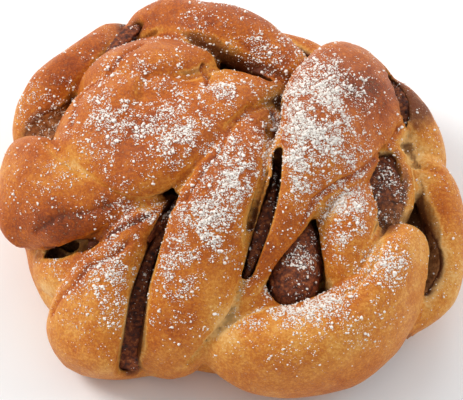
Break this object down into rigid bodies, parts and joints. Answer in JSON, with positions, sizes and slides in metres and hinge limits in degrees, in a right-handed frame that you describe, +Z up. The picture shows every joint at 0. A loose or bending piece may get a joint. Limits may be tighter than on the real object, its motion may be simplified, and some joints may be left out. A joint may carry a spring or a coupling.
{
  "type": "cinnamon knot",
  "caption": "Round sweet bun of one dough strip folded round cinnamon filling, wound and tied in a knot, dusted with icing sugar.",
  "frame": {"origin": "centre of the bun's bounding box, on the plane that it rests on", "axes": "+Z up, the side with the two crossing strips faces -Y"},
  "size_m": [0.12, 0.1088, 0.0516],
  "materials": {
    "crust": "baked, egg washed",
    "cinnamon": "grainy, dull"
  },
  "bodies": {
    "root": {"dough": "crust", "cinnamon_filling": "cinnamon"}
  },
  "joints": []
}
